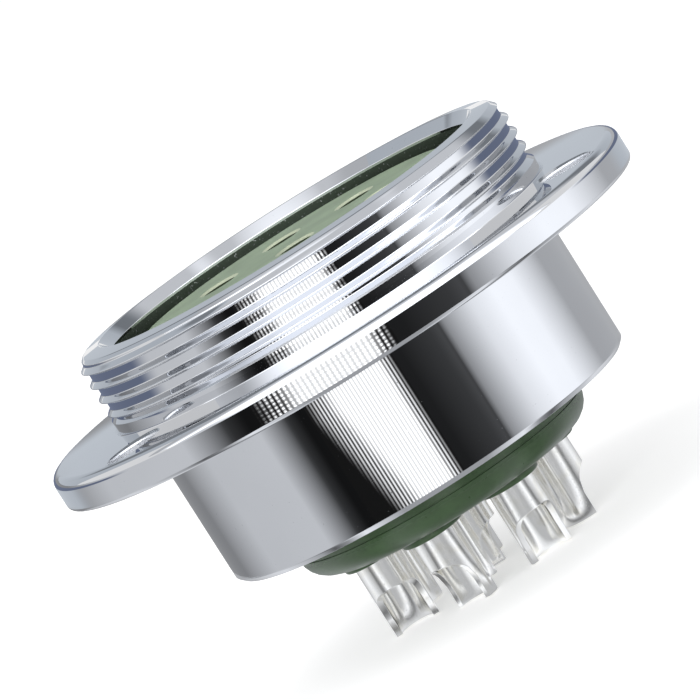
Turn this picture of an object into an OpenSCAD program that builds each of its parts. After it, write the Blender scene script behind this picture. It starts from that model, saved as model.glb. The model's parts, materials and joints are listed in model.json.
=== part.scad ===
// Panel receptacle of a threaded circular connector.
// A turned and plated shell with a round flange holds two moulded insulators, and these clamp
// the socket contacts between them. Every contact ends in a solder cup behind the panel.
// The origin is the centre of the flange's rear face, where the panel lies. +Z is the mating side.

/* [Flange] */
// Outer diameter of the flange. The diameters inside it follow by the walls and gaps below
flange_d = 40; // [37:0.5:48]
// Thickness of the flange
flange_t = 2.2; // [1.6:0.1:3]
// Radius of the flange's front edge
flange_front_round = 0.65; // [0.2:0.05:1]
// Radius of the flange's rear edge
flange_rear_round = 0.3; // [0.1:0.05:0.5]
// Number of screw holes
screw_count = 3; // [2:1:6]
// Diameter of a screw hole
screw_hole_d = 3.5; // [2.5:0.1:4.2]
// Width of the flange left inside and outside each screw hole
screw_margin = 0.75; // [0.4:0.05:1.2]
// Width of the broken edge round each screw hole
screw_hole_edge = 0.15; // [0.05:0.05:0.25]

/* [Barrel] */
// Wall of the barrel outside the groove of the retaining ring
barrel_wall = 1.15; // [0.8:0.05:1.6]
// Length of the barrel behind the flange's rear face
barrel_len = 9.2; // [8:0.1:14]
// Chamfer on the barrel's rear edge
barrel_chamfer = 0.3; // [0.1:0.05:0.6]

/* [Coupling thread] */
// Distance from the flange's rear face to the front rim
front_len = 7.4; // [6.4:0.1:10]
// Distance from crest to crest
thread_pitch = 1; // [0.75:0.05:1.5]
// Depth of the thread's grooves
thread_depth = 0.45; // [0.3:0.05:0.6]
// Width of the flat at the bottom of a groove
thread_root = 0.1; // [0.05:0.05:0.25]
// Plain length between the flange and the first groove
neck_len = 0.95; // [0.6:0.05:1.5]
// Chamfer from the thread's crest to the front rim
rim_chamfer = 0.75; // [0.5:0.05:0.9]
// Width of the rim's front face
rim_w = 1.05; // [0.8:0.05:1.5]

/* [Mating pocket] */
// Width of the ring-shaped pocket that takes the plug's nose
pocket_w = 1.65; // [1.2:0.05:2]
// Depth of the pocket below the front rim
pocket_depth = 6.4; // [5:0.1:7.5]
// Width of the bevel at the pocket's mouth
mouth_w = 0.55; // [0.3:0.05:0.9]
// Depth of that bevel
mouth_depth = 0.7; // [0.4:0.05:1]

/* [Insulators] */
// Depth of the contact face below the front rim
face_recess = 1.2; // [0.8:0.05:2]
// Radius of the contact face's edge
face_round = 0.25; // [0.1:0.05:0.5]
// Thickness of the shell's inner lip that the front insulator seats on
lip_t = 1.6; // [1:0.1:2]
// Width of that lip
lip_w = 1; // [0.6:0.05:1.4]
// Thickness of the front insulator's flange
front_flange_t = 3; // [2:0.1:3.4]
// Wall left ahead of each socket
face_wall = 1.1; // [0.7:0.05:1.5]
// How far the rear insulator stands out of the barrel
hub_proud = 2.6; // [2:0.1:5]
// Radius of the rear insulator's edge
hub_round = 1.6; // [0.5:0.1:1.7]
// Width and depth of the parting line where that edge starts
parting_w = 0.15; // [0.1:0.05:0.3]
// Width of the raised ring round each solder cup
boss_w = 0.55; // [0.3:0.05:0.6]
// Height of that raised ring
boss_h = 0.4; // [0.3:0.05:0.8]
// Radius of that ring's edge
boss_round = 0.15; // [0.05:0.05:0.25]

/* [Retaining ring] */
// Thickness of the retaining ring
ring_t = 1.1; // [0.8:0.05:1.4]
// Radial width of the retaining ring
ring_w = 2.1; // [1.6:0.05:2.2]
// Depth of the shell's groove for the ring
ring_groove = 0.5; // [0.3:0.05:0.7]
// Radial gap between the ring and the rear insulator
ring_gap = 0.45; // [0.2:0.05:0.8]
// Distance from the ring to the barrel's rear end
ring_inset = 2.1; // [1.5:0.1:2.8]
// Angle of the gap between the ring's ends
ring_gap_angle = 34; // [20:1:60]

/* [Contacts] */
// Number of contacts on the circle round the middle one
ring_contacts = 7; // [3:1:7]
// Diameter of that circle
contact_circle_d = 12.5; // [12.2:0.1:13.2]
// Diameter of a contact's socket and solder cup
contact_d = 3; // [2.7:0.05:3.2]
// Width of the shoulder that both insulators clamp
shoulder_w = 0.6; // [0.4:0.05:0.7]
// Thickness of that shoulder
shoulder_t = 1.2; // [0.8:0.1:2]
// Bore of the socket for the plug's pin
pin_bore_d = 2.4; // [2:0.05:2.5]
// Depth of the pin's bore
pin_depth = 7; // [5.5:0.1:9]
// Width of the slot between a socket's two tines
slot_w = 0.4; // [0.3:0.05:0.6]
// Length of that slot
slot_len = 5.4; // [4:0.1:6]
// Bevel at the socket's mouth
socket_bevel = 0.15; // [0.05:0.05:0.2]
// Width of the bevel round each hole in the contact face
entry_bevel = 0.15; // [0.05:0.05:0.3]

/* [Solder cups] */
// Length of the contacts behind the raised rings
cup_reach = 4.95; // [4.4:0.05:8]
// Bore of a solder cup
cup_bore_d = 2.2; // [1.8:0.05:2.4]
// Depth of that bore
cup_depth = 4.1; // [3.2:0.1:5]
// How much of the cup's side is cut away
scoop_depth = 1.33; // [0.8:0.01:1.4]
// Straight length of that cut
scoop_len = 1.6; // [1:0.05:2.5]
// Radius of the cutter that leaves the rounded end of the cut
scoop_round = 1.45; // [1:0.05:1.8]

/* [Contact springs] */
// Wall of the spring sleeve round each socket's tines
spring_t = 0.2; // [0.1:0.02:0.24]
// Length of the spring sleeve
spring_len = 3; // [2:0.1:3.8]
// Distance from the spring sleeve to the socket's mouth
spring_inset = 1; // [0.5:0.1:1.5]
// Angle of the sleeve's open side
spring_gap_angle = 40; // [20:1:80]

/* [Fits] */
// Radial clearance of the insulators in the shell
insulator_fit = 0.1; // [0.05:0.01:0.15]
// Radial clearance of the contacts in the insulators
contact_fit = 0.05; // [0.02:0.01:0.1]
// Radial clearance of the spring sleeves on the sockets
spring_fit = 0.02; // [0.01:0.01:0.04]
// Radial room for the tines and their spring to open
spring_room = 0.15; // [0.1:0.01:0.2]
// Radial clearance of the plug's pin in the contact face
entry_fit = 0.05; // [0.03:0.01:0.2]
// Clearance of the retaining ring in its groove
ring_fit = 0.05; // [0.02:0.01:0.1]
// Gap between a socket's mouth and the wall ahead of it
mouth_gap = 0.1; // [0.05:0.05:0.3]

/* [Hidden] */
$fn = 96;
// Cutters run past the faces that they open by this much
over = 0.5;
// Half the angle of the thread's groove and of a drill's point
thread_flank = 30;
drill_point = 59;

// Diameters from the flange inwards
thread_d = flange_d - 2 * screw_hole_d - 4 * screw_margin;
screw_circle_d = (flange_d + thread_d) / 2;
rim_d = thread_d - 2 * rim_chamfer;
mouth_d = rim_d - 2 * rim_w;
pocket_d = mouth_d - 2 * mouth_w;
face_d = pocket_d - 2 * pocket_w;
// Diameters of the rear from the contact face outwards
lip_bore_d = face_d + 2 * insulator_fit;
rear_bore_d = lip_bore_d + 2 * lip_w;
insulator_d = rear_bore_d - 2 * insulator_fit;
ring_groove_d = rear_bore_d + 2 * ring_groove;
barrel_d = ring_groove_d + 2 * barrel_wall;
ring_d = ring_groove_d - 2 * ring_fit;
hub_d = ring_d - 2 * ring_w - 2 * ring_gap;

thread_top_z = front_len - rim_chamfer;
groove_w = thread_root + 2 * thread_depth * tan(thread_flank);
groove_count = floor((thread_top_z - flange_t - neck_len) / thread_pitch);

face_z = front_len - face_recess;
pocket_floor_z = front_len - pocket_depth;
seat_z = pocket_floor_z - lip_t;
joint_z = seat_z - front_flange_t;
ring_rear_z = -barrel_len + ring_inset;
ring_front_z = ring_rear_z + ring_t;
hub_z = -barrel_len - hub_proud;
boss_z = hub_z - boss_h;
cup_end_z = boss_z - cup_reach;
socket_z = face_z - face_wall - mouth_gap;
shoulder_z = joint_z - shoulder_t;

shoulder_d = contact_d + 2 * shoulder_w;
shoulder_bore_d = shoulder_d + 2 * contact_fit;
stem_bore_d = contact_d + 2 * contact_fit;
boss_d = contact_d + 2 * boss_w;
spring_d = contact_d + 2 * spring_fit;
socket_room_d = spring_d + 2 * spring_t + 2 * spring_room;
entry_d = pin_bore_d + 2 * entry_fit;

// The contacts are numbered round the circle from the screw hole at +Y, and the last is in the middle
contact_count = ring_contacts + 1;
first_angle = 90;
function contact_place(i) =
    let (angle = first_angle + (i - 1) * 360 / ring_contacts)
    i > ring_contacts ? [0, 0, 0] : contact_circle_d / 2 * [cos(angle), sin(angle), 0];

// The way each solder cup is turned, in degrees from +X. The contacts are round and sit as they were put in
cup_turns = [90, 141, 261, 215, 285, 11, 39, 335];
slot_turn = 20;

// Waste outside a rounded outer edge at radius r and height z, on the front or the rear of a disc
module edge_waste(r, z, round, front) {
    translate([r - round, front ? z - round : z + round])
        mirror([0, front ? 0 : 1])
            difference() {
                square(2 * round);
                circle(round);
            }
}

// Waste outside a chamfered outer edge at radius r and height z, on the front or the rear of a disc
module chamfer_waste(r, z, width, front) {
    translate([r, z])
        mirror([0, front ? 0 : 1])
            polygon([
                [-width - over, over],
                [-width, 0],
                [0, -width],
                [over, -width],
                [over, over]
            ]);
}

// Half section of a disc with rounded outer edges
module disc_section(r, z0, z1, front_round = 0, rear_round = 0) {
    difference() {
        translate([0, z0]) square([r, z1 - z0]);
        if (front_round > 0) edge_waste(r, z1, front_round, true);
        if (rear_round > 0) edge_waste(r, z0, rear_round, false);
    }
}

// Straight round hole from z0 to z1
module bore(d, z0, z1) {
    translate([0, 0, z0]) cylinder(d = d, h = z1 - z0);
}

// Bevel that opens a hole's edge at height z. It widens towards the front or the rear
module edge_bevel(d, z, width, front) {
    translate([0, 0, z])
        mirror([0, 0, front ? 0 : 1])
            translate([0, 0, -width])
                cylinder(d1 = d, d2 = d + 2 * (width + over), h = width + over);
}

// Blind drilled hole whose mouth is at mouth_z. It runs towards +Z or, with up = -1, towards -Z
module drilled(d, mouth_z, depth, up) {
    translate([0, 0, mouth_z])
        mirror([0, 0, up > 0 ? 0 : 1]) {
            translate([0, 0, -over]) cylinder(d = d, h = depth + over);
            translate([0, 0, depth]) cylinder(d1 = d, d2 = 0, h = d / 2 / tan(drill_point));
        }
}

module at_contacts() {
    for (i = [1:contact_count])
        translate(contact_place(i)) children();
}

module at_screws() {
    for (i = [1:screw_count])
        rotate(first_angle + (i - 1) * 360 / screw_count)
            translate([screw_circle_d / 2, 0, 0]) children();
}

module thread_grooves() {
    for (i = [0:groove_count - 1])
        translate([thread_d / 2, flange_t + neck_len + groove_w / 2 + i * thread_pitch])
            polygon([
                [over, groove_w / 2],
                [0, groove_w / 2],
                [-thread_depth, thread_root / 2],
                [-thread_depth, -thread_root / 2],
                [0, -groove_w / 2],
                [over, -groove_w / 2]
            ]);
}

module shell_outside() {
    disc_section(flange_d / 2, 0, flange_t, flange_front_round, flange_rear_round);
    difference() {
        disc_section(thread_d / 2, flange_t / 2, front_len);
        thread_grooves();
        chamfer_waste(thread_d / 2, front_len, rim_chamfer, true);
    }
    difference() {
        disc_section(barrel_d / 2, -barrel_len, flange_t / 2);
        chamfer_waste(barrel_d / 2, -barrel_len, barrel_chamfer, false);
    }
}

module shell() {
    color([0.76, 0.78, 0.81])
        difference() {
            rotate_extrude() shell_outside();
            bore(pocket_d, pocket_floor_z, front_len + over);
            translate([0, 0, front_len - mouth_depth])
                cylinder(d1 = pocket_d, d2 = mouth_d, h = mouth_depth);
            bore(lip_bore_d, seat_z - over, pocket_floor_z + over);
            bore(rear_bore_d, -barrel_len - over, seat_z);
            bore(ring_groove_d, ring_rear_z - ring_fit, ring_front_z);
            at_screws() {
                bore(screw_hole_d, -over, flange_t + over);
                edge_bevel(screw_hole_d, flange_t, screw_hole_edge, true);
                edge_bevel(screw_hole_d, 0, screw_hole_edge, false);
            }
        }
}

module front_insulator() {
    color([0.52, 0.6, 0.5])
        difference() {
            rotate_extrude() {
                disc_section(insulator_d / 2, joint_z, seat_z);
                disc_section(face_d / 2, joint_z, face_z, face_round);
            }
            at_contacts() {
                bore(socket_room_d, joint_z - over, socket_z + mouth_gap);
                bore(entry_d, socket_z, face_z + over);
                edge_bevel(entry_d, face_z, entry_bevel, true);
            }
        }
}

module rear_insulator() {
    color([0.27, 0.36, 0.24])
        difference() {
            union() {
                rotate_extrude() {
                    disc_section(insulator_d / 2, ring_front_z, joint_z);
                    difference() {
                        disc_section(hub_d / 2, hub_z, joint_z, 0, hub_round);
                        translate([hub_d / 2 - parting_w, hub_z + hub_round]) square(parting_w);
                    }
                }
                at_contacts() rotate_extrude() disc_section(boss_d / 2, boss_z, hub_z + over, 0, boss_round);
            }
            at_contacts() {
                bore(stem_bore_d, boss_z - over, joint_z + over);
                bore(shoulder_bore_d, shoulder_z, joint_z + over);
            }
        }
}

module retaining_ring() {
    color([0.5, 0.51, 0.53])
        rotate(first_angle + ring_gap_angle / 2)
            rotate_extrude(angle = 360 - ring_gap_angle)
                translate([ring_d / 2 - ring_w, ring_rear_z])
                    square([ring_w, ring_t]);
}

// Cutter for the open side of a solder cup that faces +X
module scoop() {
    flat_x = contact_d / 2 - scoop_depth;
    rotate([90, 0, 0])
        linear_extrude(contact_d + 2 * over, center = true) {
            translate([flat_x, cup_end_z - over])
                square([scoop_depth + over, scoop_len + over]);
            translate([flat_x + scoop_round, cup_end_z + scoop_len])
                circle(scoop_round);
        }
}

module contact(i) {
    color([0.87, 0.86, 0.83])
        translate(contact_place(i))
            difference() {
                union() {
                    bore(contact_d, cup_end_z, socket_z);
                    bore(shoulder_d, shoulder_z, joint_z);
                }
                drilled(pin_bore_d, socket_z, pin_depth, -1);
                edge_bevel(pin_bore_d, socket_z, socket_bevel, true);
                rotate(slot_turn)
                    translate([-contact_d, -slot_w / 2, socket_z - slot_len])
                        cube([2 * contact_d, slot_w, slot_len + over]);
                drilled(cup_bore_d, cup_end_z, cup_depth, 1);
                rotate(cup_turns[i - 1]) scoop();
            }
}

module contact_spring(i) {
    color([0.72, 0.68, 0.55])
        translate(contact_place(i))
            rotate(slot_turn + spring_gap_angle / 2)
                rotate_extrude(angle = 360 - spring_gap_angle)
                    translate([spring_d / 2, socket_z - spring_inset - spring_len])
                        square([spring_t, spring_len]);
}

shell();
front_insulator();
rear_insulator();
retaining_ring();
for (i = [1:contact_count]) {
    contact(i);
    contact_spring(i);
}
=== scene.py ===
"""Panel receptacle of a threaded circular connector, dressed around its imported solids.

The frame gives the sizes and places. The plated shell, both mouldings, the contacts, their spring
sleeves and the retaining ring are modelled again here with broken edges, a true helical thread and
their finishes, and stand in a small studio. All lengths are in metres.
"""

import json
import math

import bmesh
import bpy
import numpy as np
from bpy.props import FloatProperty, FloatVectorProperty, IntProperty, PointerProperty
from mathutils import Matrix, Vector


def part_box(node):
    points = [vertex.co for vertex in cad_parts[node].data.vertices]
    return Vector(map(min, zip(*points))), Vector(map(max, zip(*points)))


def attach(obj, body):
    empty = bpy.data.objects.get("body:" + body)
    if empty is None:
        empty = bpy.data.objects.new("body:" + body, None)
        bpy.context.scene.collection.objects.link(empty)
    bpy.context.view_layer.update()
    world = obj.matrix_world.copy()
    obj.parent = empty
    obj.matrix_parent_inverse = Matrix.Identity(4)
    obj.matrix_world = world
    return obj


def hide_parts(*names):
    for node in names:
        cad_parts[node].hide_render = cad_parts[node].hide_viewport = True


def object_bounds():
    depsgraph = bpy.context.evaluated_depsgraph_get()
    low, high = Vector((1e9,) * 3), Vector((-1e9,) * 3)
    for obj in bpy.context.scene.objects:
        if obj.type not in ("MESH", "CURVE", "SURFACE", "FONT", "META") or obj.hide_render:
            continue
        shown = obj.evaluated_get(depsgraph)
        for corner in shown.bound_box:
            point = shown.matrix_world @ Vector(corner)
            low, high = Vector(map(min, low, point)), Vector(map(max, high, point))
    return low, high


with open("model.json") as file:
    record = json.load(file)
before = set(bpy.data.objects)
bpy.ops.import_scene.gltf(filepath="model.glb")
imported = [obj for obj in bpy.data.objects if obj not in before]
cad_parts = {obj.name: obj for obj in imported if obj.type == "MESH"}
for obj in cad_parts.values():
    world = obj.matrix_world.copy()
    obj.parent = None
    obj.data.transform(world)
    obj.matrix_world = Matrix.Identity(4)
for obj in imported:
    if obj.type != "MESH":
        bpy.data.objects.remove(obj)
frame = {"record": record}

bl_info = {
    "name": "Circular connector receptacle",
    "version": (1, 0, 0),
    "blender": (4, 5, 0),
    "location": "View3D > Sidebar > Connector",
    "description": "Builds the visible pieces of a threaded panel receptacle and a studio for it",
    "category": "Object",
}

MM = 0.001
CAD_LOW, CAD_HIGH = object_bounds()
MOUNTS = {m["name"]: m for m in frame["record"]["mounts"]}
SOCKETS = sorted(name for name in MOUNTS if name.startswith("pin_socket_"))
CENTRES = [Vector(MOUNTS[name]["pos_m"][:2]) for name in SOCKETS]
# Number of the contact in the middle, which is the last one
MIDDLE = len(SOCKETS)


def mount_radius(name):
    """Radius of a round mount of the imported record."""
    return MOUNTS[name]["dims"]["r_mm"] * MM


def node_low(name):
    """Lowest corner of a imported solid."""
    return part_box(name)[0]


def node_high(name):
    """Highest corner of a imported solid."""
    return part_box(name)[1]


def length(name, description, default):
    """A property that holds a length."""
    return FloatProperty(name=name, description=description, default=default, unit="LENGTH", precision=5)


def degrees(name, description, default):
    """A property that holds an angle, whose default is given in degrees."""
    return FloatProperty(name=name, description=description, default=math.radians(default), subtype="ANGLE")


def colour(name, description, default):
    """A property that holds a linear colour."""
    return FloatVectorProperty(
        name=name, description=description, default=default, subtype="COLOR", min=0, max=1,
    )


def faces_round(name, description, default, least):
    """A property that holds how many faces go round a piece."""
    return IntProperty(name=name, description=description, default=default, min=least)


class ShellSizes(bpy.types.PropertyGroup):
    """Sizes of the turned and plated shell."""

    flange_thick: length("Flange thickness", "Thickness of the flange", 2.2 * MM)
    flange_front_round: length("Flange front edge", "Radius of the flange's front edge", 0.65 * MM)
    flange_rear_round: length("Flange rear edge", "Radius of the flange's rear edge", 0.3 * MM)
    hole_round: length("Screw hole edge", "Radius of the broken edge of a screw hole", 0.15 * MM)
    barrel_chamfer: length("Barrel chamfer", "Chamfer on the barrel's rear edge", 0.3 * MM)
    neck: length("Neck", "Plain length between the flange and the thread", 0.85 * MM)
    neck_round: length("Neck foot", "Radius of the neck's foot on the flange", 0.2 * MM)
    pitch: length("Thread pitch", "Distance from crest to crest", 1.0 * MM)
    depth: length("Thread depth", "Depth of the thread's grooves", 0.36 * MM)
    crest_width: length("Crest width", "Width of the thread's crest before it is rounded", 0.05 * MM)
    thread_round: length("Thread rounding", "How softly crests and roots turn into the flanks", 0.035 * MM)
    rim_radius: length("Rim radius", "Radius at which the chamfer ahead of the thread ends", 14.42 * MM)
    rim_drop: length("Rim slope", "How far the rim's front face falls towards its edge", 0.14 * MM)
    rim_round: length("Rim edge", "Radius of the rim's front edge", 0.2 * MM)
    mouth_radius: length("Mouth radius", "Radius of the pocket's mouth", 13.2 * MM)
    mouth_depth: length("Mouth depth", "Depth of the bevel at the mouth", 0.7 * MM)
    pocket_radius: length("Pocket radius", "Radius of the pocket round the contact face", 12.65 * MM)
    pocket_depth: length("Pocket depth", "Depth of the pocket below the rim", 6.4 * MM)
    lip_radius: length("Lip radius", "Bore of the inner lip", 11.1 * MM)
    lip_thick: length("Lip thickness", "Thickness of the inner lip", 1.6 * MM)
    bore_radius: length("Rear bore", "Radius of the bore behind the lip", 12.1 * MM)
    groove: length("Ring groove", "Depth of the groove for the retaining ring", 0.5 * MM)
    groove_gap: length("Groove clearance", "Room of the retaining ring in its groove", 0.05 * MM)
    edge: length("Broken edge", "Radius of every other edge", 0.08 * MM)
    flange_slope: degrees("Flange slope", "How far the flange's front face falls towards its edge", 2.1)
    front_flank: degrees("Front flank", "Angle of the thread's front flank from the axis", 52)
    rear_flank: degrees("Rear flank", "Angle of the thread's rear flank from the axis", 72)
    crest_turn: degrees("Thread start", "Angle from +X where a crest is a whole number of pitches up", 357)
    segments: faces_round("Segments", "Faces round the shell, and rows in one pitch", 136, 64)
    hole_segments: faces_round("Hole segments", "Faces round a screw hole", 64, 16)


class MouldingSizes(bpy.types.PropertyGroup):
    """Sizes of the two moulded insulators."""

    face_radius: length("Face radius", "Radius of the contact face", 11.0 * MM)
    face_round: length("Face edge", "Radius of the contact face's edge", 0.25 * MM)
    seat_z: length("Seat height", "Height of the step that seats on the shell's lip", -0.6 * MM)
    face_wall: length("Face wall", "Wall ahead of each socket", 1.1 * MM)
    entry_gap: length("Entry clearance", "Radial clearance of a pin in the contact face", 0.05 * MM)
    entry_bevel: length("Entry bevel", "Bevel round each hole of the contact face", 0.15 * MM)
    room_radius: length("Socket room", "Radius of the room round each socket", 1.87 * MM)
    ring_front_z: length("Ring seat", "Height of the step that the retaining ring holds", -6.0 * MM)
    hub_radius: length("Hub radius", "Radius of the rear moulding behind the ring", 10.0 * MM)
    hub_round: length("Hub edge", "Radius of the rear moulding's edge", 1.6 * MM)
    parting: length("Parting line", "Width and depth of the parting line", 0.09 * MM)
    collar_radius: length("Collar radius", "Radius of the raised ring round each solder cup", 2.05 * MM)
    collar_height: length("Collar height", "Height of that raised ring", 0.4 * MM)
    collar_round: length("Collar edge", "Radius of that ring's edge", 0.15 * MM)
    contact_gap: length("Contact clearance", "Radial clearance of the contacts", 0.05 * MM)
    edge: length("Broken edge", "Radius of every other edge", 0.06 * MM)
    segments: faces_round("Segments", "Faces round a moulding", 192, 48)
    bore_segments: faces_round("Bore segments", "Faces round a contact's hole", 48, 16)


class ContactSizes(bpy.types.PropertyGroup):
    """Sizes of the contacts, their spring sleeves and the retaining ring."""

    radius: length("Contact radius", "Radius of a socket and a solder cup", 1.5 * MM)
    shoulder_top_z: length("Shoulder top", "Height of the shoulder's front face", -3.6 * MM)
    shoulder_thick: length("Shoulder thickness", "Thickness of the shoulder", 1.2 * MM)
    pin_depth: length("Socket depth", "Depth of the bore for a pin", 7.0 * MM)
    slot_width: length("Slot width", "Width of the slot between two tines", 0.4 * MM)
    slot_length: length("Slot length", "Length of that slot", 5.4 * MM)
    cup_bore: length("Cup bore", "Radius of a solder cup's bore", 1.1 * MM)
    cup_depth: length("Cup depth", "Depth of a solder cup's bore", 4.1 * MM)
    scoop_plane: length("Scoop plane", "Distance of the cut from the cup's axis", 0.17 * MM)
    scoop_length: length("Scoop length", "Straight length of the cut", 1.6 * MM)
    scoop_round: length("Scoop radius", "Radius of the cutter that ends the cut", 1.45 * MM)
    drill_angle: degrees("Drill point", "Half the angle of a drill's point", 59)
    slot_turn: degrees("Slot direction", "Angle of the slots from +X", 20)
    cup_turns: FloatVectorProperty(
        name="Cup directions", description="The way each solder cup faces, from +X", unit="ROTATION", size=8,
        default=[math.radians(a) for a in (90, 141, 261, 215, 285, 11, 39, 335)],
    )
    spring_wall: length("Spring wall", "Wall of a spring sleeve", 0.2 * MM)
    spring_gap: degrees("Spring opening", "Angle of a spring sleeve's open side", 40)
    ring_width: length("Ring width", "Radial width of the retaining ring", 2.1 * MM)
    ring_opening: degrees("Ring opening", "Angle between the retaining ring's ends", 34)
    edge: length("Broken edge", "Bevel on the edges of the metal pieces", 0.035 * MM)
    step: degrees("Step", "Angle of one face round a contact", 7.5)


class Finishes(bpy.types.PropertyGroup):
    """Colours of the finishes, with lighter and darker copies of the moulding green that paint light and
    shade.
    """

    chrome: colour("Chrome", "Chrome plate of the shell", (0.66, 0.67, 0.69))
    # Painted shade and painted green reflection on the pocket's chrome wall
    pocket: colour("Pocket", "Dark wall of the pocket round the contact face", (0.040, 0.055, 0.038))
    # A lighter copy of the moulding green: painted light from above on the contact face
    face_lit_green: colour("Face green", "Moulding of the contact face", (0.245, 0.325, 0.205))
    # A paler copy of the face green, not a filler: a painted highlight on the hole bevels
    bevel_highlight_green: colour("Cut green", "Paler filler at the bevels of the contact face", (0.52, 0.58, 0.42))
    # A dark copy of the moulding green: painted shade inside the holes
    bore_shade_green: colour("Bore green", "Dark inside of the holes in the contact face", (0.022, 0.035, 0.012))
    # A darker copy of the moulding green: painted shade on the rear moulding
    rear_shaded_green: colour("Rear green", "Moulding round the solder cups", (0.047, 0.090, 0.038))
    silver: colour("Silver", "Silver plate of the contacts", (0.945, 0.94, 0.92))
    tarnish: colour("Tarnish", "Silver plate where it has tarnished", (0.9072, 0.8889, 0.8302))
    steel: colour("Steel", "Spring steel of the retaining ring", (0.46, 0.47, 0.49))
    bronze: colour("Bronze", "Strip of the spring sleeves", (0.62, 0.47, 0.28))


class StageSettings(bpy.types.PropertyGroup):
    """The camera and the studio."""

    azimuth: degrees("Azimuth", "Way the camera is turned round the connector", -5.0)
    elevation: degrees("Elevation", "Height of the camera above the flange", 7.0)
    roll: degrees("Roll", "Tilt of the connector in the picture", 32.363)
    distance: length("Distance", "Distance from the camera to the connector", 350 * MM)
    frame_width: length("Frame width", "Width that the picture takes in at the connector", 42.17 * MM)
    origin_right: length("Origin right", "How far right of the picture's middle the origin is", -0.039 * MM)
    origin_up: length("Origin up", "How far above the picture's middle the origin is", 1.165 * MM)
    card_radius: length("Wall radius", "Distance of the reflected walls from the axis", 62 * MM)
    card_height: length("Wall top", "Height of those walls' top edge", 10 * MM)
    vault_radius: length("Vault radius", "Radius of the softbox and ceiling over the connector", 150 * MM)
    softbox_reach: length("Softbox reach", "How far the front softbox goes to either side", 400 * MM)
    ceiling_reach: length("Ceiling reach", "How far the ceiling goes to either side", 150 * MM)
    floor_radius: length("Floor radius", "Radius of the floor", 2.0)


def math_pair(operation):
    """An operator that adds a Math node, and its reflected form."""

    def forward(socket, other):
        return socket.math(operation, socket, other)

    def reflected(socket, other):
        return socket.math(operation, other, socket)

    return forward, reflected


class Socket:
    """A shader socket on which Python's operators add Math nodes."""

    def __init__(self, finish, link):
        self.finish = finish
        self.link = link

    def math(self, operation, *values):
        """The outcome of a Math node."""
        return self.finish.node("ShaderNodeMath", {"operation": operation}, dict(enumerate(values)))

    __add__, __radd__ = math_pair("ADD")
    __sub__, __rsub__ = math_pair("SUBTRACT")
    __mul__, __rmul__ = math_pair("MULTIPLY")
    __truediv__, __rtruediv__ = math_pair("DIVIDE")
    __pow__, __rpow__ = math_pair("POWER")

    def __abs__(self):
        return self.math("ABSOLUTE", self)

    def most(self, other):
        """The larger of two values."""
        return self.math("MAXIMUM", self, other)

    def wave(self, period):
        """A sine wave between 0 and 1."""
        return self.math("SINE", self * (2 * math.pi / period)) * 0.5 + 0.5


class Finish:
    """The node tree of one material or of the world."""

    def __init__(self, owner):
        owner.use_nodes = True
        self.owner = owner
        self.tree = owner.node_tree
        self.tree.nodes.clear()

    @staticmethod
    def pick(sockets, key):
        """A socket by its place, identifier or name."""
        if isinstance(key, int):
            return sockets[key]
        return next(s for s in sockets if key in (s.identifier, s.name))

    def node(self, kind, settings=None, inputs=None, output=0):
        """Adds a node, sets it up, then fills or links its sockets. Gives one of its outputs."""
        made = self.tree.nodes.new(kind)
        for name, value in (settings or {}).items():
            if name == "stops":
                self.set_stops(made.color_ramp, value)
            else:
                setattr(made, name, value)
        for key, value in (inputs or {}).items():
            socket = self.pick(made.inputs, key)
            if isinstance(value, Socket):
                self.tree.links.new(value.link, socket)
            else:
                socket.default_value = value
        return Socket(self, self.pick(made.outputs, output)) if len(made.outputs) else None

    @staticmethod
    def set_stops(ramp, stops):
        """Gives a colour ramp its places and colours."""
        while len(ramp.elements) < len(stops):
            ramp.elements.new(1.0)
        for element, (place, tone) in zip(ramp.elements, stops):
            element.position = place
            element.color = tone

    def coords(self):
        """The place on the connector, in millimetres."""
        return self.scaled(self.node("ShaderNodeTexCoord", output="Object"), 1 / MM)

    def height(self):
        """The height on the connector, in millimetres."""
        return self.node("ShaderNodeSeparateXYZ", None, {0: self.coords()}, "Z")

    def stretched(self, by):
        """The place on the connector, with each axis times a number of its own."""
        return self.node("ShaderNodeVectorMath", {"operation": "MULTIPLY"}, {0: self.coords(), 1: by})

    def scaled(self, vector, level):
        """A colour or a place times a level."""
        return self.node("ShaderNodeVectorMath", {"operation": "SCALE"}, {0: vector, "Scale": level})

    def noise(self, scale, detail=2.0, vector=None):
        """Noise of about one cycle to a millimetre times the scale."""
        inputs = {"Vector": vector or self.coords(), "Scale": scale, "Detail": detail}
        return self.node("ShaderNodeTexNoise", None, inputs)

    def mix(self, factor, first, second):
        """A colour between two colours."""
        inputs = {"Factor_Float": factor, "A_Color": first, "B_Color": second}
        return self.node("ShaderNodeMix", {"data_type": "RGBA"}, inputs, "Result_Color")

    def ramp(self, factor, low, high, least=0.0):
        """A smooth step from the least value at low to 1 at high."""
        settings = {"interpolation_type": "SMOOTHSTEP"}
        inputs = {"Value": factor, "From Min": low, "From Max": high, "To Min": least}
        return self.node("ShaderNodeMapRange", settings, inputs)

    def bump(self, height, strength, distance):
        """A normal that follows a height."""
        inputs = {"Strength": strength, "Distance": distance, "Height": height}
        return self.node("ShaderNodeBump", None, inputs)

    def seen(self):
        """One for what the camera sees, straight or by way of metal or glass."""
        rays = ("Is Camera Ray", "Is Glossy Ray", "Is Transmission Ray")
        straight, mirrored, through = (self.node("ShaderNodeLightPath", output=ray) for ray in rays)
        return straight.most(mirrored).most(through)

    def surface(self, shader):
        """The material, with a shader on its surface."""
        self.node("ShaderNodeOutputMaterial", None, {"Surface": shader})
        return self.owner

    def principled(self, inputs):
        """The material, with a Principled shader on its surface."""
        return self.surface(self.node("ShaderNodeBsdfPrincipled", None, inputs))


def shade(rgb, level=1.0):
    """A colour with its alpha, at a level."""
    return (*(c * level for c in rgb), 1.0)


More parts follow.
